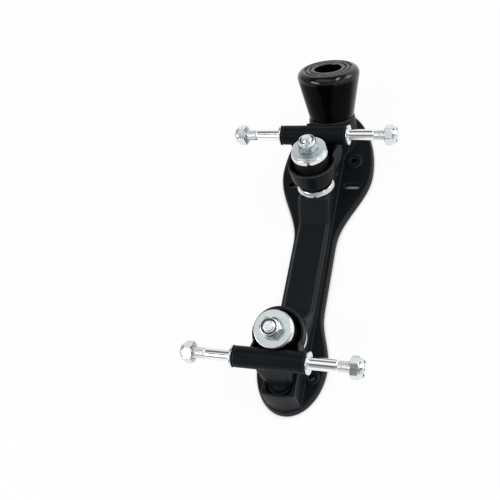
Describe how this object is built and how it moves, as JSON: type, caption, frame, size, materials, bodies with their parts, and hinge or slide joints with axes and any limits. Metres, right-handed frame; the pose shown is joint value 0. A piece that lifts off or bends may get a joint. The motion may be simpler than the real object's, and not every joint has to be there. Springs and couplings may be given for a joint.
{
  "type": "quad roller skate plate",
  "caption": "Roller skate sole plate with a moulded black beam, sprung steering trucks on tilted kingpins, bare axles ready for wheels and a bolt-on rubber toe stop.",
  "frame": {"origin": "on the sole face, on the middle line, half way between the two axles", "axes": "+Z away from the boot, towards the trucks; +Y towards the toe; +X to the right, along the axles"},
  "size_m": [0.121, 0.2765, 0.0705],
  "materials": {
    "plate_nylon": "satin moulded nylon",
    "stop_rubber": "smooth glossy rubber",
    "bushing_rubber": "matt moulded rubber",
    "hanger_paint": "satin black paint on cast alloy",
    "axle_steel": "bright zinc plate",
    "zinc_hardware": "bluish bright zinc plate",
    "chrome_washer": "polished"
  },
  "bodies": {
    "plate": {"base_plate": "plate_nylon", "toe_stop": "stop_rubber", "toe_stop_bolt": "zinc_hardware", "toe_stop_washer": "zinc_hardware", "toe_stop_nut": "zinc_hardware", "front_kingpin": "zinc_hardware", "front_lower_washer": "chrome_washer", "front_lower_bushing": "bushing_rubber", "front_upper_bushing": "bushing_rubber", "front_upper_washer": "zinc_hardware", "front_flat_washer": "zinc_hardware", "front_kingpin_nut": "zinc_hardware", "front_pivot_cup": "bushing_rubber", "rear_kingpin": "zinc_hardware", "rear_lower_washer": "chrome_washer", "rear_lower_bushing": "bushing_rubber", "rear_upper_bushing": "bushing_rubber", "rear_upper_washer": "zinc_hardware", "rear_flat_washer": "zinc_hardware", "rear_kingpin_nut": "zinc_hardware", "rear_pivot_cup": "bushing_rubber"},
    "front_truck": {"front_hanger": "hanger_paint", "front_axle": "axle_steel"},
    "front_left_washer": {"front_left_speed_washer": "zinc_hardware"},
    "front_left_nut": {"front_left_axle_nut": "zinc_hardware"},
    "front_right_washer": {"front_right_speed_washer": "zinc_hardware"},
    "front_right_nut": {"front_right_axle_nut": "zinc_hardware"},
    "rear_truck": {"rear_hanger": "hanger_paint", "rear_axle": "axle_steel"},
    "rear_left_washer": {"rear_left_speed_washer": "zinc_hardware"},
    "rear_left_nut": {"rear_left_axle_nut": "zinc_hardware"},
    "rear_right_washer": {"rear_right_speed_washer": "zinc_hardware"},
    "rear_right_nut": {"rear_right_axle_nut": "zinc_hardware"}
  },
  "joints": [
    {"name": "front_truck_steer", "type": "hinge", "parent": "plate", "child": "front_truck", "pos_m": [0, 0.092, 0.021], "axis": [0, -0.8413, 0.5406], "range_deg": [-10, 10], "stiffness_Nm_per_rad": 25, "deforming": ["front_lower_bushing", "front_upper_bushing"]},
    {"name": "front_left_washer_slide", "type": "slide", "parent": "front_truck", "child": "front_left_washer", "axis": [-1, 0, 0], "range_m": [0, 0.025]},
    {"name": "front_left_nut_slide", "type": "slide", "parent": "front_truck", "child": "front_left_nut", "axis": [-1, 0, 0], "range_m": [0, 0.02]},
    {"name": "front_right_washer_slide", "type": "slide", "parent": "front_truck", "child": "front_right_washer", "axis": [1, 0, 0], "range_m": [0, 0.025]},
    {"name": "front_right_nut_slide", "type": "slide", "parent": "front_truck", "child": "front_right_nut", "axis": [1, 0, 0], "range_m": [0, 0.02]},
    {"name": "rear_truck_steer", "type": "hinge", "parent": "plate", "child": "rear_truck", "pos_m": [0, -0.092, 0.021], "axis": [0, 0.8413, 0.5406], "range_deg": [-10, 10], "stiffness_Nm_per_rad": 25, "deforming": ["rear_lower_bushing", "rear_upper_bushing"]},
    {"name": "rear_left_washer_slide", "type": "slide", "parent": "rear_truck", "child": "rear_left_washer", "axis": [-1, 0, 0], "range_m": [0, 0.025]},
    {"name": "rear_left_nut_slide", "type": "slide", "parent": "rear_truck", "child": "rear_left_nut", "axis": [-1, 0, 0], "range_m": [0, 0.02]},
    {"name": "rear_right_washer_slide", "type": "slide", "parent": "rear_truck", "child": "rear_right_washer", "axis": [1, 0, 0], "range_m": [0, 0.025]},
    {"name": "rear_right_nut_slide", "type": "slide", "parent": "rear_truck", "child": "rear_right_nut", "axis": [1, 0, 0], "range_m": [0, 0.02]}
  ]
}
